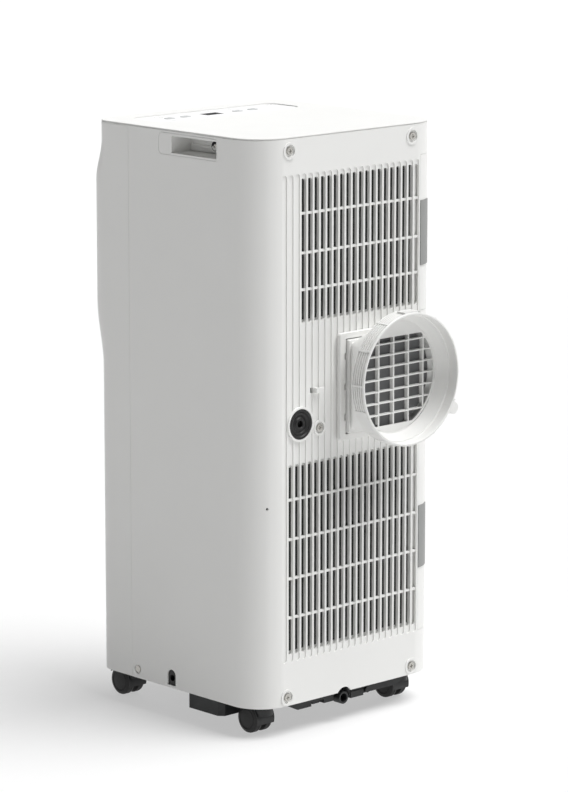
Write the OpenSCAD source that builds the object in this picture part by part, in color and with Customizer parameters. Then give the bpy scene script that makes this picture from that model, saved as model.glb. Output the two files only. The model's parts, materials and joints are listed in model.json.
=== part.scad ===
// Portable air conditioner: a tall white case on four twin-wheel casters, with a
// fluted rear grille, a square-to-round hose outlet, two pull-out filters, and the
// cooling circuit and blowers inside. Millimetres, +Z up, front towards -Y.
// The origin is on the floor under the centre of the overall box.

/* [Case] */
// Width of the case
case_w = 284; // [276:1:300]
// Depth of the case without the front bulge and the hose ring
case_d = 274; // [270:1:284]
// Height of the top above the floor
case_top = 676; // [672:1:684]
// Height of the case's bottom edge above the floor
case_bottom = 36; // [36:1:38]
// Radius of the two rear corners
rear_r = 40; // [38:1:41]
// Radius of the two front corners
front_r = 23; // [20:1:26]
// Wall thickness of the mouldings
wall = 2.8; // [2.4:0.1:3.2]
// Thickness of the top cover
cover_t = 3; // [2.5:0.1:4]
// How far the front swells forward around the air outlet
bulge = 10; // [8:1:12]
// Distance from the front face back to the seam between the two casings
seam_depth = 60.5; // [56:0.5:66]

/* [Rear grille] */
// Distance between two flutes
flute_pitch = 9.72; // [9.5:0.01:9.8]
// Width of a flute
flute_w = 7.1; // [6.5:0.1:7.5]
// Number of flutes
flute_count = 22; // [22:1:22]
// Depth of a flute
flute_depth = 1.2; // [0.8:0.1:1.6]
// Thickness of the grille panel
panel_t = 4; // [3.5:0.1:4.5]
// Height of a cross bar
bar_h = 2.7; // [2:0.1:3.2]

/* [Hose outlet] */
// Centre of the outlet from the case's middle plane
outlet_x = -41; // [-44:1:-38]
// Outer radius of the hose ring
ring_r = 75.6; // [74:0.2:76]
// Depth of the hose ring
ring_depth = 20; // [18:1:22]
// How far the hose ring's rim stands off the rear wall
ring_reach = 55; // [54:1:58]
// Height of the hose ring's centre above the floor
ring_z = 397.7; // [396:0.1:399]

/* [Casters] */
// Wheel radius
wheel_r = 16.5; // [16:0.1:16.6]
// Width of one wheel
wheel_w = 10; // [9:1:12]
// Distance from the swivel axis to the axle
caster_trail = 12; // [11:1:13]
// Distance of a swivel axis from the middle plane
caster_x = 107; // [104:1:107]
// Distance of a rear swivel axis behind the case's centre
caster_rear = 105.5; // [104:0.5:106]
// Distance of a front swivel axis ahead of the case's centre
caster_front = 113.5; // [112:0.5:114]

/* [Controls] */
// Length of a button
button_l = 13; // [10:1:14]
// Width of a button
button_w = 9; // [7:1:10]
// Travel of a button
button_travel = 1; // [0.8:0.1:1.2]

/* [Hidden] */
$fn = 64;
gap = 0.3;
reach_all = 400;
half_w = case_w / 2;
depth_all = bulge + case_d + ring_reach;
front_y = bulge - depth_all / 2;
rear_y = front_y + case_d;
mid_y = (front_y + rear_y) / 2;
seam_y = front_y + seam_depth;
shell_top = case_top - cover_t;
shell_h = shell_top - case_bottom;

// grille
panel_half = 105.6;
panel_z0 = 82;
panel_z1 = 639;
flute_z0 = 86;
flute_z1 = 634.5;
upper_open = [468.5, 629];
lower_open = [94, 311];
upper_first = 3;
lower_first = 1;
upper_bars = [505.4, 546.3, 590.3];
lower_bars = [136.5, 181.4, 226.2, 271.1];
function flute_x(i) = flute_pitch * (flute_count - 1) / 2 - i * flute_pitch;

// filters: frame behind the grille, end cap in the rear corner at -X
cap_x = -108.5;
filter_t = 5.5;
filter_y1 = rear_y - panel_t - 1;
filter_y0 = filter_y1 - filter_t;
filter_x1 = 98;
upper_cap = [461, 639];
lower_cap = [87, 317];
upper_grip = [513, 587];
lower_grip = [161, 234];
corner_x = half_w - rear_r;
corner_y = rear_y - rear_r;

// hose outlet
outlet_z = 389.7;
frame_w = 126;
frame_h = 122;
frame_proud = 5;
flange_w = 105.2;
flange_h = 106;
flange_proud = 9;
throat_r = 64.5;
throat_y = rear_y + ring_reach - 25;
ring_back_y = throat_y - 1.5;
clip_turn = 31;
grid_depth = 6;
grid_x = -40.4;
grid_z = 396;
grid_pitch_x = 23.3;
grid_pitch_z = 13.35;
window_z = [343.3, 443];

// rear fittings: [x, z]
top_screws = [[-94.5, 661], [94.5, 661]];
bottom_screws = [[-97.7, 46], [97.7, 46]];
panel_screw = [49, 347.5];
plug_at = [78.5, 355.5];
hook_at = [56, 391];
spout_at = [9, 28.5];
spout_r = 6.5;
side_screw_y = seam_y + 9.5;
side_screw_z = 46.5;
notch_y = mid_y - 8.4;
notch_w = 13.6;
notch_z0 = 39;
notch_z1 = 57.5;

// air outlet in the front bulge
mouth_w = 196;
mouth_z0 = 522;
mouth_z1 = 594;
mouth_depth = 62;
bulge_y = front_y - bulge;
bulge_z = [391, 468, 606, 654];
sleeve_gap = 1.1;
sleeve_t = 2;
vane_count = 5;
vane_pitch = 34;
vane_y = bulge_y + 42;

// handles: recess in each side under the top
handle_y0 = mid_y - 25;
handle_y1 = mid_y + 73;
handle_z0 = 647.5;
handle_z1 = 671.5;
handle_r = 5;
pocket_y0 = mid_y - 3.5;
pocket_y1 = mid_y + 70.5;
pocket_z0 = 650;
pocket_z1 = shell_top - 4;
pocket_depth = 30;

// blowers: axis along Y
upper_fan = [0, 534];
lower_fan = [28, 196];
fan_y0 = mid_y + 16;
fan_depth = 58;
fan_r = 66;
coil_y0 = mid_y + 84;
coil_y1 = filter_y0 - 2;
tray_z = 449;

// base
pan_z = 37;
pan_t = 3;
axle_z = wheel_r;
caster_ys = [mid_y + caster_rear, mid_y - caster_front];
hood_r = 18.2;

// controls: a sunk panel in the top cover, and the groove around the cover's edge
strip_y0 = front_y + 51.5;
strip_w = 220;
strip_d = 56;
strip_r = 15;
strip_t = 1.2;
strip_drop = 0.9;
strip_top = case_top - strip_drop;
display_x = 8;
display_w = 25;
display_d = 15;
button_xs = [-56, -32, 48, 72];
groove_z = case_top - 1.9;
groove_h = 1.1;
groove_t = 1.3;

// ---------- shared shapes ----------

// Plan of the case, moved inwards by t; forward moves the front face
module case_plan(t, forward = 0) {
  xh = half_w - t;
  y0 = front_y - forward + t;
  y1 = rear_y - t;
  rf = front_r - t;
  rb = rear_r - t;
  translate([-xh, y0 + rf]) square([2 * xh, y1 - rb - y0 - rf]);
  translate([-xh + rf, y0]) square([2 * (xh - rf), y1 - rb - y0]);
  translate([-xh + rb, y0 + rf]) square([2 * (xh - rb), y1 - y0 - rf]);
  for (s = [-1, 1]) {
    translate([s * (xh - rf), y0 + rf]) circle(r = rf);
    translate([s * (xh - rb), y1 - rb]) circle(r = rb);
  }
}

// Rectangle with round corners, centred
module round_rect(w, h, r) {
  square([w - 2 * r, h], center = true);
  square([w, h - 2 * r], center = true);
  for (x = [-1, 1], y = [-1, 1])
    translate([x * (w / 2 - r), y * (h / 2 - r)]) circle(r = r);
}

// Draws an X-Z outline as a plate whose rear face is at y and which is t thick
module upright(y, t) {
  translate([0, y, 0]) rotate([90, 0, 0]) linear_extrude(t) children();
}

// Disc or bore along Y from y0 to y1
module bar_y(x, z, r, y0, y1) {
  translate([x, y1, z]) rotate([90, 0, 0]) cylinder(r = r, h = y1 - y0);
}

// Disc or bore along X from x0 to x1
module bar_x(y, z, r, x0, x1) {
  translate([x0, y, z]) rotate([0, 90, 0]) cylinder(r = r, h = x1 - x0);
}

module block(x0, x1, y0, y1, z0, z1) {
  translate([x0, y0, z0]) cube([x1 - x0, y1 - y0, z1 - z0]);
}

// ---------- casings ----------

// Slice, 1 mm thick, of the front's swell from height z, moved inwards by t
module front_slice(z, t, forward) {
  y0 = front_y - forward + front_r;
  translate([0, 0, z]) linear_extrude(1) {
    translate([t - half_w, y0]) square([2 * (half_w - t), seam_y + 4 - y0]);
    translate([front_r - half_w, y0 - front_r + t]) square([2 * (half_w - front_r), front_r]);
    for (side = [-1, 1]) translate([side * (half_w - front_r), y0]) circle(r = front_r - t, $fn = 48);
  }
}

// Front body moved inwards by t: the plan swells forward and back again
module front_solid(t, z0, z1) {
  translate([0, 0, z0]) linear_extrude(z1 - z0) case_plan(t);
  translate([0, 0, bulge_z[1]]) linear_extrude(bulge_z[2] - bulge_z[1]) case_plan(t, bulge);
  hull() {
    front_slice(bulge_z[0], t, 0);
    front_slice(bulge_z[1] - 1, t, bulge);
  }
  hull() {
    front_slice(bulge_z[2], t, bulge);
    front_slice(bulge_z[3] - 1, t, 0);
  }
}

module front_casing() {
  color("white") difference() {
    front_solid(0, case_bottom, shell_top);
    front_solid(wall, case_bottom - 1, shell_top + 1);
    block(-reach_all, reach_all, seam_y, reach_all, 0, case_top);
    block(-mouth_w / 2, mouth_w / 2, bulge_y - 1, front_y + 20, mouth_z0, mouth_z1);
  }
}

// Quarter ring of the rear corner at -X, between two radii
module corner_arc(r0, r1, z0, z1) {
  translate([-corner_x, corner_y, z0]) linear_extrude(z1 - z0) difference() {
    circle(r = r1);
    circle(r = r0);
  }
}

// Space that a filter's end cap fills in the rear corner at -X
module cap_zone(z0, z1, slack) {
  block(-reach_all, cap_x + slack, filter_y0 - slack, reach_all, z0 - slack, z1 + slack);
}

module screw_boss(p) {
  bar_y(p[0], p[1], 9.5, rear_y - wall, rear_y + 1);
}

module screw_well(p) {
  bar_y(p[0], p[1], 7, rear_y - 1.2, rear_y + 2);
  bar_y(p[0], p[1], 2.1, rear_y - 20, rear_y + 2);
}

module side_notch(x0, x1, grow) {
  w = notch_w + 2 * grow;
  block(x0, x1, notch_y - w / 2, notch_y + w / 2, notch_z0 - grow, notch_z1 - notch_w / 2);
  bar_x(notch_y, notch_z1 - notch_w / 2, w / 2, x0, x1);
}

// Round-cornered block of the hand hold's plate, grown by g
module hand_plate(x0, x1, g) {
  translate([x0, (handle_y0 + handle_y1) / 2, (handle_z0 + handle_z1) / 2]) rotate([90, 0, 90])
    linear_extrude(x1 - x0) round_rect(handle_y1 - handle_y0 + 2 * g, handle_z1 - handle_z0 + 2 * g, handle_r + g);
}

module rear_casing() {
  color("white") difference() {
    union() {
      difference() {
        translate([0, 0, case_bottom]) linear_extrude(shell_h) case_plan(0);
        translate([0, 0, case_bottom - 1]) linear_extrude(shell_h + 2) case_plan(wall);
      }
      for (p = concat(top_screws, bottom_screws)) screw_boss(p);
    }
    block(-reach_all, reach_all, -reach_all, seam_y, 0, case_top);
    block(-panel_half, panel_half, rear_y - 10, rear_y + 5, panel_z0, panel_z1);
    cap_zone(upper_cap[0], upper_cap[1], gap);
    cap_zone(lower_cap[0], lower_cap[1], gap);
    for (p = concat(top_screws, bottom_screws)) screw_well(p);
    bar_y(spout_at[0], spout_at[1] + 0.5, 12.5, rear_y - 10, rear_y + 5);
    side_notch(half_w - 10, half_w + 5, 0);
    for (s = [-1, 1]) {
      bar_x(side_screw_y, side_screw_z, 5.5, s * half_w - 1.4, s * half_w + 1.4);
      bar_x(side_screw_y, side_screw_z, 2.1, s * half_w - 8, s * half_w + 8);
      hand_plate(s * half_w - 8, s * half_w + 8, gap);
    }
    translate([113, corner_y, 265]) rotate([-90, 0, -16]) cylinder(r = 1.5, h = 60);
  }
}

// Round-ended flute in the X-Z plane
module flute(i, z0, z1) {
  x = flute_x(i);
  translate([x - flute_w / 2, z0 + flute_w / 2]) square([flute_w, z1 - z0 - flute_w]);
  for (z = [z0 + flute_w / 2, z1 - flute_w / 2]) translate([x, z]) circle(d = flute_w, $fn = 24);
}

// Openings of one grille field, split by its cross bars
module grille_field(first, span, bars) {
  difference() {
    for (i = [first:flute_count - 1]) flute(i, span[0], span[1]);
    for (z = bars) translate([-reach_all, z - bar_h / 2]) square([2 * reach_all, bar_h]);
  }
}

// Inside of the outlet's sleeve, grown by t
module sleeve_plan(t) {
  square([flange_w + 2 * (sleeve_gap + t), flange_h + 2 * (sleeve_gap + t)], center = true);
}

module panel_outline() {
  difference() {
    translate([-panel_half, panel_z0]) square([2 * panel_half, panel_z1 - panel_z0]);
    translate([outlet_x, outlet_z]) sleeve_plan(sleeve_t);
    translate([plug_at[0], plug_at[1]]) circle(r = 17.3);
    translate([panel_screw[0], panel_screw[1]]) circle(r = 2.1);
  }
}

module rear_grille() {
  color("white") difference() {
    union() {
      intersection() {
        union() {
          upright(rear_y - flute_depth, panel_t - flute_depth) difference() {
            panel_outline();
            grille_field(upper_first, upper_open, upper_bars);
            grille_field(lower_first, lower_open, lower_bars);
          }
          upright(rear_y, flute_depth) difference() {
            panel_outline();
            for (i = [0:flute_count - 1]) flute(i, flute_z0, flute_z1);
          }
        }
        translate([0, 0, case_bottom]) linear_extrude(shell_h) case_plan(0);
      }
      difference() {
        union() {
          bar_y(plug_at[0], plug_at[1], 19.5, rear_y - panel_t, rear_y + 1.5);
          bar_y(panel_screw[0], panel_screw[1], 8.75, rear_y - panel_t, rear_y + 1);
        }
        bar_y(plug_at[0], plug_at[1], 17.3, rear_y - 10, rear_y + 5);
      }
    }
    bar_y(panel_screw[0], panel_screw[1], 6.5, rear_y - 1.2, rear_y + 5);
    bar_y(panel_screw[0], panel_screw[1], 2.1, rear_y - 10, rear_y + 5);
    block(hook_at[0] + 2.5, hook_at[0] + 6, rear_y - 10, rear_y + 5, hook_at[1] - 3, hook_at[1] + 3);
  }
}

// ---------- top ----------

module top_cover() {
  color("white") difference() {
    translate([0, 0, shell_top]) linear_extrude(cover_t) case_plan(0);
    translate([0, 0, groove_z]) linear_extrude(groove_h) difference() {
      square(2 * reach_all, center = true);
      case_plan(groove_t);
    }
    translate([0, strip_y0, strip_top - strip_t]) linear_extrude(cover_t) round_rect(strip_w, strip_d, strip_r);
    for (x = button_xs) button_hole(x);
    display_block(-1, shell_top - 1, case_top);
  }
}

module button_hole(x) {
  translate([x, strip_y0, shell_top - 1]) linear_extrude(cover_t + 2)
    round_rect(button_l + 2 * gap, button_w + 2 * gap, button_w / 2 - 0.5);
}

// Block of the display's size, grown by g
module display_block(g, z0, z1) {
  block(display_x - display_w / 2 - g, display_x + display_w / 2 + g,
    strip_y0 - display_d / 2 - g, strip_y0 + display_d / 2 + g, z0, z1);
}

module control_panel() {
  color("whitesmoke") difference() {
    translate([0, strip_y0, strip_top - strip_t]) linear_extrude(strip_t)
      round_rect(strip_w - 0.1, strip_d - 0.1, strip_r - 0.05);
    for (x = button_xs) button_hole(x);
    display_block(0, shell_top, case_top);
  }
}

module display_window() {
  color("black") display_block(0, strip_top - strip_t, strip_top);
}

module button(i) {
  color("gainsboro") {
    translate([button_xs[i], strip_y0, shell_top - 2]) linear_extrude(strip_top + 0.6 - shell_top + 2)
      round_rect(button_l, button_w, button_w / 2 - 0.8);
    translate([button_xs[i], strip_y0, shell_top - 3]) linear_extrude(1)
      round_rect(button_l + 4, button_w + 4, button_w / 2);
  }
}

module control_board() {
  top = shell_top - 9.4;
  color("darkgreen") {
    block(-85, 85, strip_y0 - 14, strip_y0 + 14, top - 1.6, top);
    for (x = button_xs) block(x - 3, x + 3, strip_y0 - 3, strip_y0 + 3, top, shell_top - 5);
    display_block(-2, top, shell_top - 0.4);
    for (x = [-12, 28]) block(x - 4, x + 4, strip_y0 - 6, strip_y0 + 6, top, shell_top - 6);
  }
}

// Hand hold: a plate in the side wall with a pocket that goes inwards
module handle(side) {
  plate_t = wall;
  color("white") difference() {
    union() {
      hand_plate(side > 0 ? half_w - plate_t : -half_w, side > 0 ? half_w : -half_w + plate_t, 0);
      block(side > 0 ? half_w - pocket_depth - 2 : -half_w + plate_t,
        side > 0 ? half_w - plate_t : -half_w + pocket_depth + 2,
        pocket_y0 - 1.5, pocket_y1 + 1.5, pocket_z0 - 1.5, pocket_z1 + 1.5);
    }
    block(side > 0 ? half_w - pocket_depth : -half_w - 1, side > 0 ? half_w + 1 : -half_w + pocket_depth,
      pocket_y0, pocket_y1, pocket_z0, pocket_z1);
  }
}

// ---------- base and inner floor ----------

module caster_socket(x, y) {
  translate([x, y, pan_z]) cylinder(r = 9, h = 22);
}

module base_pan() {
  color("#26282a") difference() {
    union() {
      translate([0, 0, pan_z]) linear_extrude(pan_t) case_plan(wall + gap);
      translate([0, 0, pan_z]) linear_extrude(20) difference() {
        case_plan(wall + gap);
        case_plan(wall + gap + 2.4);
      }
      for (x = [-1, 1], y = caster_ys) caster_socket(x * caster_x, y);
      sump();
      rear_lip();
    }
    for (x = [-1, 1], y = caster_ys)
      translate([x * caster_x, y, 0]) cylinder(r = 5.05, h = pan_z + 18);
    for (p = bottom_screws) bar_y(p[0], p[1], 2.1, rear_y - 20, rear_y + 2);
    bar_y(spout_at[0], spout_at[1], spout_r + 0.05, rear_y - 60, rear_y + 2);
    bar_y(spout_at[0], spout_at[1], 12.5, rear_y - 14, rear_y + 2);
    for (s = [-1, 1]) bar_x(side_screw_y, side_screw_z, 2.1, s * half_w - 12, s * half_w + 12);
    side_notch(half_w - 20, half_w + 5, 0.2);
  }
}

// Box that hangs under the +X side, with its outer rear edge cut off
module sump() {
  y0 = mid_y + 16;
  y1 = mid_y + 70;
  translate([0, 0, 17]) linear_extrude(pan_z - 17 + 1)
    polygon([[52, y0], [137, y0], [137, y1 - 6], [131, y1], [52, y1]]);
}

// Rear edge of the pan that shows under the case: a thin fin goes out beside the casters
module rear_lip() {
  difference() {
    union() {
      upright(rear_y - 5, 40) lip_outline(73, 67);
      upright(rear_y - 5, 2.5) lip_outline(97, 79);
    }
    block(36, 56, rear_y - 12, rear_y, 20, 31);
  }
  block(41, 51, rear_y - 18, rear_y - 8, 27.5, 30);
  block(-25, -5, rear_y - 16, rear_y - 4, 24.5, 32);
  bar_y(-30.5, 30, 3.3, rear_y - 8, rear_y - 2.5);
}

module lip_outline(top_half, bottom_half) {
  polygon([[-top_half, pan_z + 1], [-top_half, 36], [-bottom_half, 26.5], [bottom_half - 2, 26.5],
    [top_half, 36], [top_half, pan_z + 1]]);
}

module drain_spout() {
  color("#1d1e20") difference() {
    union() {
      bar_y(spout_at[0], spout_at[1], spout_r, rear_y - 40, rear_y - 13);
      bar_y(spout_at[0], spout_at[1], spout_r + 0.75, rear_y - 13, rear_y - 1);
    }
    bar_y(spout_at[0], spout_at[1], 4.9, rear_y - 60, rear_y + 1);
  }
}

module middle_tray() {
  color("lightgray") difference() {
    translate([0, 0, tray_z]) linear_extrude(8) case_plan(wall + gap);
    translate([0, 0, tray_z + 2.5]) linear_extrude(8) case_plan(wall + gap + 2.5);
    block(-reach_all, reach_all, filter_y0 - 1, reach_all, 0, case_top);
    block(-mouth_w / 2 - 5, mouth_w / 2 + 5, -reach_all, front_y + 6, 0, case_top);
    for (x = [-120, 118]) translate([x, mid_y + 20, 0]) cylinder(r = 5, h = case_top);
  }
}

// ---------- cooling circuit ----------

compressor_at = [-72, mid_y - 62];
foot_angles = [90, 210, 330];

module compressor() {
  x = compressor_at[0];
  y = compressor_at[1];
  color("#2b2b2d") {
    translate([x, y, 62]) rotate_extrude($fn = 96)
      polygon([[0, 0], [44, 0], [54, 8], [56, 20], [56, 150], [53, 164], [40, 174], [14, 178], [0, 178]]);
    for (a = foot_angles) translate([x, y, 54]) rotate([0, 0, a]) difference() {
      union() {
        translate([0, -14, 0]) cube([58, 28, 3]);
        translate([58, 0, 0]) cylinder(r = 14, h = 3);
        translate([34, -10, 0]) cube([12, 20, 14]);
      }
      translate([58, 0, -1]) cylinder(r = 5.5, h = 6);
    }
    translate([x + 20, y + 20, 232]) cylinder(r = 5, h = 23);
    translate([x - 20, y - 20, 232]) cylinder(r = 5, h = 23);
  }
}

module compressor_grommets() {
  color("black") for (a = foot_angles)
    translate([compressor_at[0], compressor_at[1], 0]) rotate([0, 0, a]) translate([58, 0, 0]) {
      translate([0, 0, pan_z + pan_t]) cylinder(r = 10, h = 54 - pan_z - pan_t);
      translate([0, 0, 54]) cylinder(r = 5.4, h = 4);
      translate([0, 0, 57.1]) cylinder(r = 9, h = 3);
    }
}

// Finned coil: thin fins between two end plates, with return bends
module coil(z0, z1, x0, x1) {
  fins = 36;
  step = (x1 - x0 - 12) / fins;
  color("silver") {
    for (x = [x0, x1 - 2]) block(x, x + 2, coil_y0, coil_y1, z0, z1);
    for (z = [z0 + 16:26:z1 - 14], y = [coil_y0 + 9, coil_y0 + 26]) bar_x(y, z, 3.5, x0 - 6, x1 + 6);
    for (i = [0:fins]) block(x0 + 5 + i * step, x0 + 6.2 + i * step, coil_y0 + 1, coil_y1 - 1, z0 + 1, z1 - 1);
  }
}

module evaporator_coil() {
  coil(tray_z + 9, 636, -96, 90);
}

module condenser_coil() {
  coil(62, 318, -96, 96);
}

// Copper tube made of straight runs and quarter bends
module refrigerant_pipes() {
  x = compressor_at[0];
  y = compressor_at[1];
  r = 4;
  color("#b5673a") {
    translate([x + 20, y + 20, 255.1]) cylinder(r = r, h = 40);
    translate([x + 20, y + 20, 295.1]) rotate([0, 0, 180]) bend(14, r);
    bar_x(y + 20, 309.1, r, -125, x + 6);
    translate([x - 20, y - 20, 255.1]) cylinder(r = r, h = 78);
    translate([x - 20, y - 20, 333.1]) rotate([0, 0, 180]) bend(14, r);
    bar_x(y - 20, 347.1, r, -125, x - 34);
    translate([118, mid_y + 20, 60]) cylinder(r = r, h = 560);
    bar_x(mid_y + 20, 620, r, 100, 118);
  }
}

// Quarter bend from +Z round to +X
module bend(radius, r) {
  translate([radius, 0, 0]) rotate([90, 0, 180]) rotate_extrude(angle = 90) translate([radius, 0]) circle(r = r, $fn = 32);
}

// ---------- blowers ----------

module scroll_plan(c, neck_x0, neck_x1, neck_z, grow) {
  translate([c[0] - 2, c[1]]) circle(r = fan_r + 12 + grow);
  translate([neck_x0 - grow, c[1]]) square([neck_x1 - neck_x0 + 2 * grow, neck_z - c[1]]);
}

// Fan housing: a ring around the wheel, inlet at the rear and motor hole in front
module scroll(c, neck_x0, neck_x1, neck_z) {
  difference() {
    upright(fan_y0 + fan_depth, fan_depth) scroll_plan(c, neck_x0, neck_x1, neck_z, 2);
    upright(fan_y0 + fan_depth - 2, fan_depth - 4) scroll_plan(c, neck_x0, neck_x1, neck_z + 3, 0);
    bar_y(c[0], c[1], fan_r - 12, fan_y0 + 10, fan_y0 + fan_depth + 1);
    bar_y(c[0], c[1], 34.2, fan_y0 - 1, fan_y0 + 10);
  }
}

// The upper neck blows forward through a window in its front wall
module upper_scroll() {
  color("gainsboro") difference() {
    union() {
      scroll(upper_fan, -76, 72, 604);
      block(-78, 74, fan_y0, fan_y0 + fan_depth, 604, 606);
    }
    block(-60, 60, fan_y0 - 1, fan_y0 + 3, 574, 590);
  }
}

// The lower neck rises to the level of the hose outlet and turns to the rear
module lower_scroll() {
  duct_x0 = outlet_x - flange_w / 2 + 3;
  duct_x1 = outlet_x + flange_w / 2 - 3;
  z0 = outlet_z - flange_h / 2 + 3;
  z1 = outlet_z + flange_h / 2 - 3;
  color("#6b6d70") {
    difference() {
      union() {
        scroll(lower_fan, duct_x0 + 2, duct_x1 - 2, z1 - 2);
        block(duct_x0, duct_x1, fan_y0, fan_y0 + fan_depth, z1 - 2, z1);
        block(duct_x0, duct_x1, fan_y0 + fan_depth, rear_y - 27, z0, z1);
      }
      block(duct_x0 + 2, duct_x1 - 2, fan_y0 + fan_depth - 4, rear_y, z0 + 2, z1 - 2);
    }
    translate([duct_x0 + 1, 0, 0]) rotate([90, 0, 90]) linear_extrude(duct_x1 - duct_x0 - 2)
      polygon([[fan_y0 + 1, z0 + 6], [fan_y0 + 4, z0 + 6], [fan_y0 + fan_depth + 2, z1 - 4],
        [fan_y0 + fan_depth + 2, z1 - 1], [fan_y0 + 1, z0 + 9]]);
  }
}

module blower_wheel(c, blades) {
  y0 = fan_y0 + 6;
  y1 = fan_y0 + fan_depth - 6;
  color("dimgray") {
    difference() {
      union() {
        bar_y(c[0], c[1], fan_r, y1 - 16, y1 - 13);
        bar_y(c[0], c[1], 10, y1 - 22, y1 - 8);
      }
      bar_y(c[0], c[1], 4.02, y0, y1);
    }
    difference() {
      union() {
        bar_y(c[0], c[1], fan_r, y0, y0 + 2.5);
        bar_y(c[0], c[1], fan_r, y1 - 2.5, y1);
      }
      bar_y(c[0], c[1], fan_r - 11, y0 - 1, y1 + 1);
    }
    for (k = [0:blades - 1]) translate([c[0], 0, c[1]]) rotate([0, k * 360 / blades, 0])
      translate([fan_r - 11, 0, 0]) rotate([0, 30, 0]) block(0.6, 10, y0 + 1, y1 - 1, -0.8, 0.8);
  }
}

module fan_motor(c) {
  color("#3a3c40") {
    bar_y(c[0], c[1], 34, fan_y0 - 6, fan_y0 + 22);
    bar_y(c[0], c[1], 14, fan_y0 - 12, fan_y0 - 6);
    bar_y(c[0], c[1], 3.97, fan_y0 + 22, fan_y0 + 45);
    for (a = [0, 120, 240]) translate([c[0], fan_y0 - 0.1, c[1]]) rotate([90, a, 0])
      difference() {
        translate([-5, 30, 0]) cube([10, 12, 2.5]);
        translate([0, 38, -1]) cylinder(r = 2, h = 5);
      }
  }
}

// ---------- hose outlet ----------

module exhaust_frame() {
  color("white") difference() {
    union() {
      upright(rear_y + frame_proud, frame_proud) translate([outlet_x, outlet_z])
        round_rect(frame_w, frame_h, 4);
      upright(rear_y, 26) translate([outlet_x, outlet_z]) sleeve_plan(sleeve_t);
    }
    upright(rear_y + 20, 60) translate([outlet_x, outlet_z]) sleeve_plan(0);
    for (s = [-1, 1], k = [-1:1]) translate([outlet_x + s * (flange_w / 2 + sleeve_gap + 0.6), 0, outlet_z + k * 34.5])
      block(-1.4, 1.4, rear_y + frame_proud - 2.5, rear_y + 20, -3.5, 3.5);
  }
}

// Square sleeve that slides into the frame, then a cone up to the ring's throat
module exhaust_adapter() {
  y_flange = rear_y + flange_proud;
  bore_w = 92;
  color("white") difference() {
    union() {
      upright(y_flange, flange_proud + 14) translate([outlet_x, outlet_z])
        round_rect(flange_w, flange_h, 2);
      hull() {
        upright(y_flange, 1) translate([outlet_x, outlet_z]) square(bore_w + 5, center = true);
        bar_y(outlet_x, ring_z, throat_r + 2, throat_y - 3, ring_back_y);
      }
    }
    upright(y_flange - 0.9, 80) translate([outlet_x, outlet_z]) square(bore_w, center = true);
    hull() {
      upright(y_flange, 1) translate([outlet_x, outlet_z]) square(bore_w, center = true);
      bar_y(outlet_x, ring_z, throat_r - 1, throat_y - 4, throat_y);
    }
  }
}

module exhaust_grid() {
  y1 = throat_y - 3.2;
  color("white") {
    upright(throat_y - 2, 1.8) translate([outlet_x, ring_z]) difference() {
      circle(r = throat_r - 1.1);
      intersection() {
        circle(r = throat_r - 3);
        translate([-reach_all, window_z[0] - ring_z]) square([2 * reach_all, window_z[1] - window_z[0]]);
      }
    }
    intersection() {
      union() {
        for (k = [-2:2]) block(grid_x + k * grid_pitch_x - 0.9, grid_x + k * grid_pitch_x + 0.9,
          y1 - grid_depth, y1, window_z[0] - 2, window_z[1] + 2);
        for (k = [-3:3]) block(outlet_x - throat_r, outlet_x + throat_r, y1 - grid_depth, y1,
          grid_z + k * grid_pitch_z - 0.8, grid_z + k * grid_pitch_z + 0.8);
      }
      union() {
        bar_y(outlet_x, ring_z, throat_r - 2.5, y1 - 1.4, y1 + 1);
        bar_y(outlet_x, ring_z, throat_r - 6.5, y1 - 2 * grid_depth, y1 + 1);
      }
    }
  }
}

// Ring that the hose turns onto: ribbed outside, stepped inside
module hose_ring() {
  rim_y = rear_y + ring_reach;
  rib = ring_depth / 6;
  r0 = ring_r - 1.4;
  color("white") {
    translate([outlet_x, rim_y, ring_z]) rotate([90, 0, 0]) rotate_extrude($fn = 128)
      polygon(concat(
        [[throat_r, 26.5], [throat_r + 2, 26.5], [r0 - 1, ring_depth]],
        [for (k = [5:-1:0]) each [
          [ring_r, (k + 1) * rib - 0.4], [ring_r, k * rib + rib * 0.5], [r0, k * rib + rib * 0.5], [r0, k * rib]]],
        [[ring_r - 2.8, 0], [ring_r - 2.8, 12], [ring_r - 5, 14]]));
    ring_tabs(rim_y);
  }
}

// Rounded clip at the lower -X side of the ring, and a thumb rest on top
module ring_tabs(rim_y) {
  translate([outlet_x, 0, ring_z]) rotate([0, -clip_turn, 0]) upright(rim_y - 1, 9) {
    translate([-ring_r - 5, 0]) circle(r = 7.5);
    translate([-ring_r - 5, -7.5]) square([8, 15]);
  }
  translate([outlet_x, 0, ring_z]) block(-11, 11, rim_y - 14, rim_y - 1, ring_r - 2.4, ring_r + 2);
}

// ---------- filters ----------

module filter_frame(cap) {
  z0 = cap[0] + 3;
  z1 = cap[1] - 3;
  color("white") {
    upright(filter_y1, filter_t) difference() {
      translate([-118, z0]) square([filter_x1 + 118, z1 - z0]);
      translate([-98, z0 + 7]) square([filter_x1 + 91, z1 - z0 - 14]);
    }
    for (x = [-34, 30]) block(x - 1.5, x + 1.5, filter_y0, filter_y0 + 2.2, z0 + 7, z1 - 7);
  }
}

module filter_end(cap, grip) {
  color("white") difference() {
    intersection() {
      corner_arc(rear_r - wall, rear_r, cap[0], cap[1]);
      cap_zone(cap[0], cap[1], 0);
    }
    corner_arc(rear_r - 1.2, rear_r + 1, grip[0], grip[1]);
  }
}

module filter_web(cap) {
  color("white") intersection() {
    translate([-corner_x, corner_y, cap[0] + 3]) linear_extrude(cap[1] - cap[0] - 6) difference() {
      circle(r = rear_r - wall);
      translate([10, 0]) square([60, 60]);
    }
    block(-reach_all, cap_x - 1, filter_y0, filter_y1, cap[0], cap[1]);
  }
}

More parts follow.
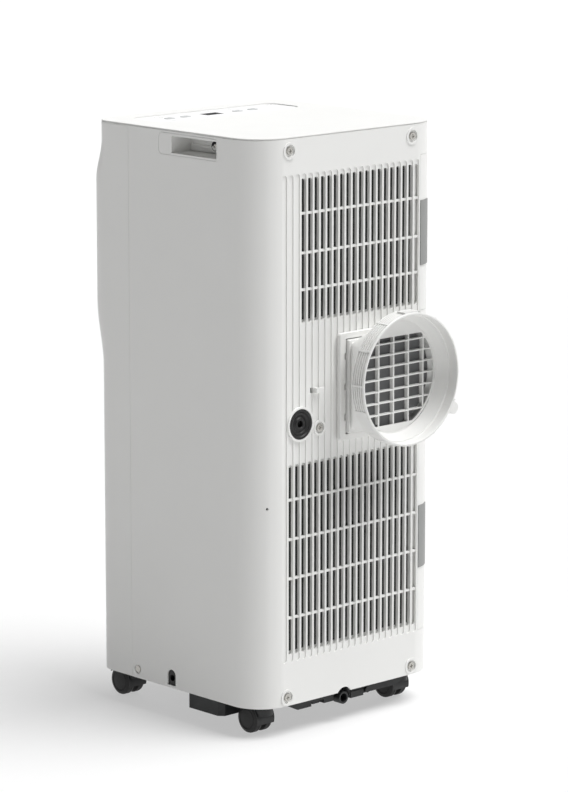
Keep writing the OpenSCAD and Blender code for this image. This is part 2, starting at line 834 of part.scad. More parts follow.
module upper_filter_frame() {
  filter_frame(upper_cap);
  filter_end(upper_cap, upper_grip);
  filter_web(upper_cap);
}

module lower_filter_frame() {
  filter_frame(lower_cap);
  filter_end(lower_cap, lower_grip);
  filter_web(lower_cap);
}

module filter_mesh(cap) {
  color("#4a4c4e") block(-98, filter_x1 - 7, filter_y0 + 2.2, filter_y0 + 3.2, cap[0] + 10, cap[1] - 10);
}

module upper_filter_mesh() {
  filter_mesh(upper_cap);
}

module lower_filter_mesh() {
  filter_mesh(lower_cap);
}

module filter_grip(grip) {
  color("#9a9a98") intersection() {
    corner_arc(rear_r - 1.2, rear_r + 0.8, grip[0], grip[1]);
    block(-reach_all, cap_x, filter_y0, reach_all, grip[0], grip[1]);
  }
}

module upper_filter_grip() {
  filter_grip(upper_grip);
}

module lower_filter_grip() {
  filter_grip(lower_grip);
}

// ---------- rear fittings ----------

module drain_nozzle() {
  color("gainsboro") difference() {
    union() {
      bar_y(plug_at[0], plug_at[1], 17.2, rear_y - panel_t, rear_y - 2.6);
      bar_y(plug_at[0], plug_at[1], 11, rear_y - 30, rear_y - panel_t);
    }
    bar_y(plug_at[0], plug_at[1], 8.1, rear_y - 40, rear_y + 5);
  }
}

module drain_plug() {
  color("#151515") difference() {
    union() {
      bar_y(plug_at[0], plug_at[1], 17, rear_y - 2.5, rear_y + 1.2);
      bar_y(plug_at[0], plug_at[1], 8, rear_y - 18, rear_y - 2.5);
    }
    difference() {
      bar_y(plug_at[0], plug_at[1], 13, rear_y - 1.2, rear_y + 2);
      bar_y(plug_at[0], plug_at[1], 8.3, rear_y - 2, rear_y + 3);
    }
    bar_y(plug_at[0], plug_at[1], 4, rear_y - 6, rear_y + 3);
  }
}

// Tongue that hangs a drain hose; it stands on a root beside its opening
module hose_hook() {
  x = hook_at[0];
  z = hook_at[1];
  color("white") {
    block(x - 1.5, x + 2, rear_y, rear_y + 5, z - 3, z + 3);
    block(x - 10, x + 2, rear_y + 3, rear_y + 5, z - 3, z + 3);
  }
}

module cord_gland() {
  x1 = half_w - 1.2;
  color("#151515") difference() {
    side_notch(x1 - 9, x1, -0.2);
    bar_x(notch_y, notch_z0 + 8.5, 3.6, x1 - 20, x1 + 1);
  }
}

module pan_head(x, z) {
  bar_y(x, z, 1.95, rear_y - 14, rear_y - 1.2);
  difference() {
    bar_y(x, z, 4.3, rear_y - 1.2, rear_y + 0.8);
    block(x - 2.2, x + 2.2, rear_y - 0.3, rear_y + 2, z - 0.5, z + 0.5);
    block(x - 0.5, x + 0.5, rear_y - 0.3, rear_y + 2, z - 2.2, z + 2.2);
  }
}

module casing_screws() {
  color("silver") {
    for (p = concat(top_screws, bottom_screws, [panel_screw])) pan_head(p[0], p[1]);
    for (s = [-1, 1]) {
      bar_x(side_screw_y, side_screw_z, 1.95, min(s * (half_w - 1.4), s * (half_w - 10)), max(s * (half_w - 1.4), s * (half_w - 10)));
      bar_x(side_screw_y, side_screw_z, 4, min(s * (half_w - 1.4), s * (half_w - 0.2)), max(s * (half_w - 1.4), s * (half_w - 0.2)));
    }
  }
}

// ---------- front air outlet ----------

hinge_y = bulge_y + 6;
hinge_z = mouth_z0 + 7.5;

module outlet_frame() {
  w = mouth_w / 2;
  y1 = bulge_y + mouth_depth;
  color("whitesmoke") difference() {
    block(-w - 2.5, w + 2.5, bulge_y + wall, y1, mouth_z0 - 2.5, mouth_z1 + 2.5);
    block(-w, w, bulge_y - 1, y1 + 1, mouth_z0, mouth_z1);
    bar_x(hinge_y, hinge_z, 2.05, -w - 3, w + 3);
    for (i = [0:vane_count - 1]) translate([vane_x(i), vane_y, mouth_z0 - 3]) cylinder(r = 1.55, h = 100, $fn = 32);
  }
}

function vane_x(i) = (i - (vane_count - 1) / 2) * vane_pitch;

module louver_blade() {
  w = mouth_w / 2;
  color("white") {
    block(-w + 1, w - 1, bulge_y, bulge_y + 2.4, mouth_z0 + 3.5, mouth_z1 - 1);
    bar_x(hinge_y, hinge_z, 2, -w - 2.4, w + 2.4);
    for (x = [-w + 1, -1, w - 3]) block(x, x + 2, bulge_y + 2.4, hinge_y + 1.5, hinge_z - 1.9, hinge_z + 10);
  }
}

module louver_motor() {
  x = mouth_w / 2 + 3;
  color("silver") bar_x(hinge_y + 10, hinge_z, 12, x, x + 16);
}

module vane(i) {
  color("whitesmoke") translate([vane_x(i), vane_y, 0]) {
    block(-0.9, 0.9, -14, 16, mouth_z0 + 0.6, mouth_z1 - 0.6);
    translate([0, 0, mouth_z0 - 2.4]) cylinder(r = 1.5, h = mouth_z1 - mouth_z0 + 4.8, $fn = 32);
  }
}

// ---------- casters ----------

// Swivel fork with its stem in the pan and a hood over two wheels
module caster_fork(x, y) {
  ay = y - caster_trail;
  half = wheel_w + 3;
  color("#1b1c1e") difference() {
    union() {
      bar_x(ay, axle_z, hood_r, x - half, x + half);
      translate([x, y, 22]) cylinder(r = 12, h = 12.5);
      translate([x, y, 30]) cylinder(r = 5, h = pan_z + 14 - 30);
    }
    bar_x(ay, axle_z, wheel_r + 0.8, x - half - 1, x - 3);
    bar_x(ay, axle_z, wheel_r + 0.8, x + 3, x + half + 1);
    block(x - 50, x + 50, ay - 60, ay + 60, -5, axle_z - 5);
    block(x - 50, x + 50, ay - 60, ay - 4, -5, axle_z + 9);
    bar_x(ay, axle_z, 3.05, x - 4, x + 4);
  }
}

module caster_wheels(x, y) {
  ay = y - caster_trail;
  color("#141414") {
    bar_x(ay, axle_z, 3, x - 4, x + 4);
    for (s = [-1, 1]) translate([x + s * 3.5, ay, axle_z]) rotate([0, s * 90, 0]) rotate_extrude($fn = 96)
      polygon([[0, 0], [wheel_r - 0.8, 0], [wheel_r, 0.8], [wheel_r, wheel_w - 3], [wheel_r - 2, wheel_w - 1],
        [wheel_r - 5, wheel_w - 0.5], [0, wheel_w - 0.5]]);
  }
}

front_casing();
rear_casing();
rear_grille();
top_cover();
control_panel();
display_window();
button(0);  // button_power
button(1);  // button_mode
button(2);  // button_cooler
button(3);  // button_warmer
control_board();
handle(-1);  // handle_left
handle(1);  // handle_right
base_pan();
middle_tray();
compressor();
compressor_grommets();
evaporator_coil();
condenser_coil();
refrigerant_pipes();
upper_scroll();
blower_wheel(upper_fan, 24);  // upper_blower_wheel
fan_motor(upper_fan);  // upper_fan_motor
lower_scroll();
blower_wheel(lower_fan, 24);  // lower_blower_wheel
fan_motor(lower_fan);  // lower_fan_motor
exhaust_frame();
exhaust_adapter();
exhaust_grid();
hose_ring();
upper_filter_frame();
upper_filter_mesh();
upper_filter_grip();
lower_filter_frame();
lower_filter_mesh();
lower_filter_grip();
drain_nozzle();
drain_plug();
drain_spout();
hose_hook();
cord_gland();
casing_screws();
outlet_frame();
louver_blade();
louver_motor();
vane(0);  // vane_1
vane(1);  // vane_2
vane(2);  // vane_3
vane(3);  // vane_4
vane(4);  // vane_5
caster_fork(-caster_x, caster_ys[0]);  // caster_rear_left_fork
caster_wheels(-caster_x, caster_ys[0]);  // caster_rear_left_wheels
caster_fork(caster_x, caster_ys[0]);  // caster_rear_right_fork
caster_wheels(caster_x, caster_ys[0]);  // caster_rear_right_wheels
caster_fork(-caster_x, caster_ys[1]);  // caster_front_left_fork
caster_wheels(-caster_x, caster_ys[1]);  // caster_front_left_wheels
caster_fork(caster_x, caster_ys[1]);  // caster_front_right_fork
caster_wheels(caster_x, caster_ys[1]);  // caster_front_right_wheels
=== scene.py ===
"""Portable air conditioner: detailed meshes, finishes and studio around the fixed frame.

Lengths are metres, +Z is up and the front faces -Y. Sizes come from the frame's own boxes; small
details are given in millimetres through mm().
"""

import json
import logging
import math
from dataclasses import dataclass, field
from enum import Enum
from typing import Callable, Iterable, Optional

import bmesh
import bpy
from mathutils import Matrix, Vector


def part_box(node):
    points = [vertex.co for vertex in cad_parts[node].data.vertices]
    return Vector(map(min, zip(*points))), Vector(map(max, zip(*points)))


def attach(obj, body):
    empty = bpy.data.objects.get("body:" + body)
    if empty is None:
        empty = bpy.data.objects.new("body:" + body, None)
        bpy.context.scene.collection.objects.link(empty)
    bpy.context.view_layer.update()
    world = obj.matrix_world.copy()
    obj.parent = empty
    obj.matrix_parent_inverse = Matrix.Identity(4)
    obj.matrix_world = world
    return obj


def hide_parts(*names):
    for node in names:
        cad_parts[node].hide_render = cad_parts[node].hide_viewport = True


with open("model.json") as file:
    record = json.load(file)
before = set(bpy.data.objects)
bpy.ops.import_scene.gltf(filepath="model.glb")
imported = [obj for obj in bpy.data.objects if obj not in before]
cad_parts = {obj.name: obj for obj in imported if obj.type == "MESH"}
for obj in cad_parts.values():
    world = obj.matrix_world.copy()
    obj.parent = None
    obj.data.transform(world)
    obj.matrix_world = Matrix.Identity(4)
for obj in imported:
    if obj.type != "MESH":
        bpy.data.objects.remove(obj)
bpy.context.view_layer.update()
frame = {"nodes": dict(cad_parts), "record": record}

logging.basicConfig(level=logging.INFO, format="%(message)s")
log = logging.getLogger("air_conditioner")


def mm(value: float) -> float:
    """Gives a length in millimetres as metres."""
    return value / 1000.0


# ---------------------------------------------------------------- finishes


def linear(hex_code: str) -> tuple[float, float, float, float]:
    """Turns an sRGB hex colour into linear red, green, blue and alpha.

    Args:
        hex_code: Six hex digits, such as "f2f2f0".

    Returns:
        The linear colour with alpha 1.
    """
    parts = [int(hex_code[i:i + 2], 16) / 255 for i in (0, 2, 4)]
    return tuple([c / 12.92 if c <= 0.04045 else ((c + 0.055) / 1.055) ** 2.4 for c in parts] + [1.0])


def add_node(tree: bpy.types.NodeTree, kind: str, settings: Optional[dict] = None,
             links: Optional[dict] = None) -> bpy.types.Node:
    """Adds a shader node with its settings and incoming links.

    Args:
        tree: Node tree that receives the node.
        kind: Node type name.
        settings: Attribute or input name to value.
        links: Input name to the output socket that feeds it.

    Returns:
        The new node.
    """
    made = tree.nodes.new(kind)
    for name, value in (settings or {}).items():
        if isinstance(name, int) or name in made.inputs:
            made.inputs[name].default_value = value
        else:
            setattr(made, name, value)
    for name, socket in (links or {}).items():
        tree.links.new(socket, made.inputs[name])
    return made


class Grain(Enum):
    """How a surface was made, which sets the pattern of its bump."""

    MOULDED = "fine spark-eroded texture of a mould"
    POLISHED = "polished mould, faint waves only"
    ENAMEL = "sprayed enamel with a light orange peel"
    WOVEN = "square weave of filter threads"
    PRESSED = "pressed sheet with fine fin lines"


@dataclass(frozen=True)
class Finish:
    """One procedural finish.

    Attributes:
        name: Common name of the material and how it was made.
        colour: Base colour, sRGB hex.
        shade: Second colour that slow patches drift towards, sRGB hex.
        roughness: Middle roughness.
        ior: Index of refraction.
        metallic: 1 for metal.
        grain: Pattern of the surface.
        grain_mm: Size of one grain of the pattern, in millimetres.
        bump: Strength of the bump.
        coat: Weight of a clear coat.
        drift_mm: Size of the slow patches of colour, in millimetres.
        wear: Share of the roughness that varies over the surface.
    """

    name: str
    colour: str
    shade: str
    roughness: float
    ior: float = 1.46
    metallic: float = 0.0
    grain: Grain = Grain.MOULDED
    grain_mm: float = 0.6
    bump: float = 0.05
    coat: float = 0.0
    drift_mm: float = 90.0
    wear: float = 0.12

    def build(self) -> bpy.types.Material:
        """Builds the material, or returns it if it is there already."""
        found = bpy.data.materials.get(self.name)
        if found:
            return found
        material = bpy.data.materials.new(self.name)
        material.use_nodes = True
        tree = material.node_tree
        tree.nodes.clear()
        place = add_node(tree, "ShaderNodeTexCoord").outputs["Object"]
        slow = add_node(tree, "ShaderNodeTexNoise", {"Scale": 1 / mm(self.drift_mm), "Detail": 3.0},
                        {"Vector": place}).outputs["Fac"]
        tint = add_node(tree, "ShaderNodeMix",
                        {"data_type": "RGBA", 6: linear(self.colour), 7: linear(self.shade)}, {0: slow}).outputs[2]
        smudge = add_node(tree, "ShaderNodeTexNoise", {"Scale": 1 / mm(22), "Detail": 5.0, "Roughness": 0.62},
                          {"Vector": place}).outputs["Fac"]
        rough = add_node(tree, "ShaderNodeMapRange",
                         {"From Min": 0.3, "From Max": 0.7, "To Min": self.roughness * (1 - self.wear),
                          "To Max": self.roughness * (1 + self.wear)}, {"Value": smudge}).outputs["Result"]
        height = self.pattern(tree, place)
        bump = add_node(tree, "ShaderNodeBump", {"Strength": self.bump, "Distance": mm(0.2)},
                        {"Height": height}).outputs["Normal"]
        shader = add_node(tree, "ShaderNodeBsdfPrincipled",
                          {"IOR": self.ior if not self.metallic else 1.5, "Metallic": self.metallic,
                           "Coat Weight": self.coat, "Coat Roughness": 0.08},
                          {"Base Color": tint, "Roughness": rough, "Normal": bump})
        add_node(tree, "ShaderNodeOutputMaterial", links={"Surface": shader.outputs["BSDF"]})
        return material

    def pattern(self, tree: bpy.types.NodeTree, place: bpy.types.NodeSocket) -> bpy.types.NodeSocket:
        """Adds the nodes that give the bump its height.

        Args:
            tree: Node tree of the material.
            place: Object coordinates.

        Returns:
            The height socket.
        """
        scale = 1 / mm(self.grain_mm)
        if self.grain in (Grain.WOVEN, Grain.PRESSED):
            waves = []
            directions = ("X", "Z") if self.grain is Grain.WOVEN else ("X",)
            for direction in directions:
                wave = add_node(tree, "ShaderNodeTexWave", {"bands_direction": direction, "Scale": scale / 2},
                                {"Vector": place})
                waves.append(wave.outputs["Fac"])
            if len(waves) == 1:
                return waves[0]
            higher = add_node(tree, "ShaderNodeMath", {"operation": "MAXIMUM"}, {0: waves[0], 1: waves[1]})
            return higher.outputs[0]
        detail = {Grain.MOULDED: 4.0, Grain.POLISHED: 1.0, Grain.ENAMEL: 2.0}[self.grain]
        return add_node(tree, "ShaderNodeTexNoise", {"Scale": scale, "Detail": detail, "Roughness": 0.55},
                        {"Vector": place}).outputs["Fac"]


# ABS from a spark-eroded mould: an even white with a soft sheen and a grain too fine to count
WHITE_ABS = Finish("moulded_white_abs", "f3f3f1", "efefed", 0.42, 1.53, grain_mm=0.9, bump=0.06)
# The same ABS from a smoother mould: slightly glossier edges on the ring and its frame
TRIM_ABS = Finish("satin_white_abs", "f1f1ef", "ebebe9", 0.36, 1.53, grain_mm=1.4, bump=0.04)
# Polished ABS of the control strip: mirror-like under a lamp
STRIP_ABS = Finish("polished_white_abs", "f6f6f6", "f1f1f1", 0.30, 1.53, grain=Grain.POLISHED, grain_mm=12,
                   bump=0.02)
# Smoked acrylic window, etched matt on its face against glare
SMOKED = Finish("etched_smoked_acrylic", "060708", "0a0b0d", 0.62, 1.40, grain=Grain.POLISHED, grain_mm=15,
                bump=0.01)
# Satin keys
KEY_ABS = Finish("satin_grey_abs", "d9dbdc", "d0d2d3", 0.34, 1.53, grain_mm=0.8, bump=0.04)
# Glass-fibre board under green solder mask
BOARD = Finish("green_solder_mask", "0e4a26", "0a3a1e", 0.38, 1.5, grain_mm=2.0, bump=0.05)
# Polypropylene tray, black and slightly waxy
BLACK_PP = Finish("moulded_black_polypropylene", "202223", "1b1c1d", 0.5, 1.49, grain_mm=0.8, bump=0.10)
# Light grey polystyrene of the inner mouldings
GREY_PS = Finish("moulded_grey_polystyrene", "c2c4c4", "b6b8b8", 0.5, 1.59, grain_mm=0.9, bump=0.06)
# Dark grey polypropylene of the warm air duct
DUCT_PP = Finish("moulded_dark_polypropylene", "6c6d6e", "5d5e5f", 0.55, 1.49, grain_mm=0.9, bump=0.08)
# Blower wheels
WHEEL_PP = Finish("moulded_grey_polypropylene", "45474a", "3b3d40", 0.48, 1.49, grain_mm=0.8, bump=0.07)
# Soft grey grips
GRIP = Finish("moulded_grip_grey", "9b9c9b", "929392", 0.5, 1.5, grain_mm=0.7, bump=0.10)
# Nylon filter cloth: threads drawn 1.6 mm apart so that the weave shows
MESH = Finish("woven_nylon_filter", "232425", "1b1c1d", 0.7, 1.53, grain=Grain.WOVEN, grain_mm=1.6, bump=0.5)
# Pressed aluminium fins
FINS = Finish("pressed_aluminium_fins", "a9adb0", "9da1a4", 0.34, metallic=1.0, grain=Grain.PRESSED,
              grain_mm=1.8, bump=0.3)
# Drawn copper
COPPER = Finish("drawn_copper_tube", "c07a52", "a9663f", 0.28, metallic=1.0, grain=Grain.POLISHED, grain_mm=5,
                bump=0.03)
# Black enamel on the compressor can
ENAMEL = Finish("black_sprayed_enamel", "1d1e20", "18191a", 0.3, 1.5, grain=Grain.ENAMEL, grain_mm=2.2,
                bump=0.09, coat=0.3)
# Zinc-plated motor cans
ZINC = Finish("zinc_plated_steel", "8d9093", "7c7f82", 0.36, metallic=1.0, grain_mm=1.0, bump=0.05)
# Nickel-plated screws: bright, with dark recesses
NICKEL = Finish("nickel_plated_steel", "c9c7c2", "b3b1ac", 0.24, metallic=1.0, grain=Grain.POLISHED, grain_mm=3,
                bump=0.04)
# Moulded rubber: deep black with a dull bloom
RUBBER = Finish("moulded_black_rubber", "141414", "1b1b1b", 0.52, 1.52, grain_mm=0.7, bump=0.10)
# Nylon casters
NYLON = Finish("moulded_black_nylon", "1a1b1c", "161718", 0.45, 1.53, grain_mm=0.8, bump=0.07)

SLOT_FINISH = {
    "white_case": WHITE_ABS, "white_trim": TRIM_ABS, "panel_plastic": STRIP_ABS, "display_glass": SMOKED,
    "button_plastic": KEY_ABS, "circuit_board": BOARD, "base_black": BLACK_PP, "tray_grey": GREY_PS,
    "compressor_steel": ENAMEL, "black_rubber": RUBBER, "fin_aluminium": FINS, "copper_tube": COPPER,
    "scroll_plastic": GREY_PS, "duct_grey": DUCT_PP, "wheel_plastic": WHEEL_PP, "motor_steel": ZINC,
    "filter_mesh": MESH, "grip_grey": GRIP, "screw_steel": NICKEL, "caster_black": NYLON,
    "tyre_black": RUBBER,
}
NODE_SLOT = {row["node"]: row["material_slot"] for row in frame["record"]["subparts"]}
NODE_BODY = {name: body for body, names in frame["record"]["behaviour"]["bodies"].items() for name in names}

# ---------------------------------------------------------------- mesh helpers


def smooth(bm: bmesh.types.BMesh, angle: float = 32.0) -> None:
    """Shades faces smooth and marks edges sharper than an angle, in degrees.

    Args:
        bm: Mesh to shade.
        angle: Edges that turn more than this stay sharp.
    """
    limit = math.radians(angle)
    for face in bm.faces:
        face.smooth = True
    for edge in bm.edges:
        if len(edge.link_faces) == 2:
            edge.smooth = edge.calc_face_angle(0.0) < limit


def finish_piece(bm: bmesh.types.BMesh, name: str, slot_name: str, body: str, *nodes: str,
                 finish: Optional[Finish] = None, angle: float = 32.0) -> bpy.types.Object:
    """Makes a piece from a mesh, dresses it and lets it ride on its body.

    Args:
        bm: Mesh in the frame's own coordinates; it is freed.
        name: Name of the piece.
        slot_name: Slot of the record that sets its finish.
        body: Body that it moves with.
        *nodes: CAD nodes that it stands for.
        finish: Finish, when it isn't the slot's own.
        angle: Shading angle in degrees.

    Returns:
        The new object.
    """
    smooth(bm, angle)
    mesh = bpy.data.meshes.new(name)
    bm.to_mesh(mesh)
    bm.free()
    piece = bpy.data.objects.new(name, mesh)
    bpy.context.scene.collection.objects.link(piece)
    mesh.materials.append((finish or SLOT_FINISH[slot_name]).build())
    even = piece.modifiers.new("even_shading", "WEIGHTED_NORMAL")
    even.mode = "FACE_AREA"
    even.weight = 100
    even.keep_sharp = True
    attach(piece, body)
    if nodes:
        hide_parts(*nodes)
    log.info("%s: %d faces, rides on %s", name, len(mesh.polygons), body)
    return piece


def merged_copy(node: str) -> bmesh.types.BMesh:
    """Copies a CAD node's mesh, joins its loose triangles and clears flat edges."""
    bm = bmesh.new()
    bm.from_mesh(frame["nodes"][node].data)
    bmesh.ops.remove_doubles(bm, verts=bm.verts, dist=mm(0.004))
    bmesh.ops.dissolve_degenerate(bm, dist=mm(0.002), edges=bm.edges)
    bmesh.ops.dissolve_limit(bm, angle_limit=math.radians(0.6), use_dissolve_boundaries=False,
                             verts=bm.verts, edges=bm.edges)
    return bm


def round_edges(bm: bmesh.types.BMesh, width: float, segments: int = 2, angle: float = 32.0,
                keep: Optional[Callable[[bmesh.types.BMEdge], bool]] = None) -> None:
    """Rounds the sharp edges of a closed mesh.

    Args:
        bm: Mesh to change.
        width: Width of the rounding in metres.
        segments: Steps across the rounding.
        angle: Edges that turn more than this are rounded, in degrees.
        keep: Says of an edge that it stays sharp.
    """
    limit = math.radians(angle)
    sharp = [e for e in bm.edges if len(e.link_faces) == 2 and e.calc_face_angle(0.0) > limit
             and not (keep and keep(e))]
    bmesh.ops.bevel(bm, geom=sharp, offset=width, offset_type="OFFSET", affect="EDGES", segments=segments,
                    profile=0.5, material=-1, clamp_overlap=True)


def rounded_node(node: str, width_mm: float, segments: int = 2,
                 keep: Optional[Callable[[bmesh.types.BMEdge], bool]] = None) -> bpy.types.Object:
    """Replaces a CAD node by the same shape with rounded edges.

    Args:
        node: CAD node.
        width_mm: Width of the rounding in millimetres.
        segments: Steps across the rounding.
        keep: Says of an edge that it stays sharp.

    Returns:
        The new piece.
    """
    bm = merged_copy(node)
    round_edges(bm, mm(width_mm), segments, keep=keep)
    return finish_piece(bm, node + "_moulding", NODE_SLOT[node], NODE_BODY[node], node)


def block(bm: bmesh.types.BMesh, low: Iterable[float], high: Iterable[float]) -> list[bmesh.types.BMVert]:
    """Adds a box between two corners.

    Args:
        bm: Mesh to add to.
        low: Lowest corner in metres.
        high: Highest corner in metres.

    Returns:
        The eight corners.
    """
    low, high = Vector(low), Vector(high)
    place = Matrix.Translation((low + high) / 2) @ Matrix.Diagonal((*(high - low), 1.0))
    return bmesh.ops.create_cube(bm, size=1.0, matrix=place)["verts"]


def edges_of(verts: Iterable[bmesh.types.BMVert]) -> list[bmesh.types.BMEdge]:
    """Lists the edges between the given vertices."""
    chosen = set(verts)
    return list({e for v in chosen for e in v.link_edges if e.other_vert(v) in chosen})


def bevel(bm: bmesh.types.BMesh, edges: list[bmesh.types.BMEdge], width: float, segments: int) -> None:
    """Bevels chosen edges by a width in metres with a round profile."""
    bmesh.ops.bevel(bm, geom=edges, offset=width, offset_type="OFFSET", affect="EDGES", segments=segments,
                    profile=0.5, material=-1, clamp_overlap=True)


def revolve(bm: bmesh.types.BMesh, outline: list[tuple[float, float]], centre: Vector, axis: Vector,
            steps: int = 96) -> None:
    """Turns an outline round an axis.

    Args:
        bm: Mesh to add to.
        outline: Radius and distance along the axis, in millimetres. It is closed unless its ends lie
            on the axis.
        centre: Zero of the distances, in metres.
        axis: Direction of the axis.
        steps: Faces round the turn.
    """
    axis = axis.normalized()
    side = axis.orthogonal().normalized()
    verts = [bm.verts.new(centre + side * mm(r) + axis * mm(along)) for r, along in outline]
    pairs = list(zip(verts, verts[1:]))
    if outline[0][0] > 0:
        pairs.append((verts[-1], verts[0]))
    edges = [bm.edges.new(pair) for pair in pairs]
    bmesh.ops.spin(bm, geom=verts + edges, cent=centre, axis=axis, angle=math.tau, steps=steps,
                   use_merge=True)
    bmesh.ops.remove_doubles(bm, verts=bm.verts, dist=mm(0.001))
    bmesh.ops.recalc_face_normals(bm, faces=bm.faces)


def arc_block(bm: bmesh.types.BMesh, radii: tuple[float, float], span: tuple[float, float],
              angles: tuple[float, float], centre: Vector, steps: int = 6) -> None:
    """Adds a curved block round an axis along Y.

    Args:
        bm: Mesh to add to.
        radii: Inner and outer radius in millimetres.
        span: Lowest and highest distance from the centre along Y, in millimetres.
        angles: Start and end in degrees from +X towards +Z.
        centre: Centre in metres.
        steps: Pieces along the arc.
    """
    start = math.radians(angles[0])
    ray = Vector((math.cos(start), 0, math.sin(start)))
    corners = [(radii[0], span[0]), (radii[1], span[0]), (radii[1], span[1]), (radii[0], span[1])]
    verts = [bm.verts.new(centre + ray * mm(r) + Vector((0, mm(y), 0))) for r, y in corners]
    face = bm.faces.new(verts)
    bmesh.ops.spin(bm, geom=[face, *face.edges, *verts], cent=centre, axis=(0, -1, 0),
                   angle=math.radians(angles[1] - angles[0]), steps=steps)
    bmesh.ops.remove_doubles(bm, verts=bm.verts, dist=mm(0.001))
    bmesh.ops.recalc_face_normals(bm, faces=bm.faces)


def ease(share: float) -> float:
    """Eases a share from 0 to 1 in and out."""
    return (1 - math.cos(math.pi * share)) / 2


# ---------------------------------------------------------------- case


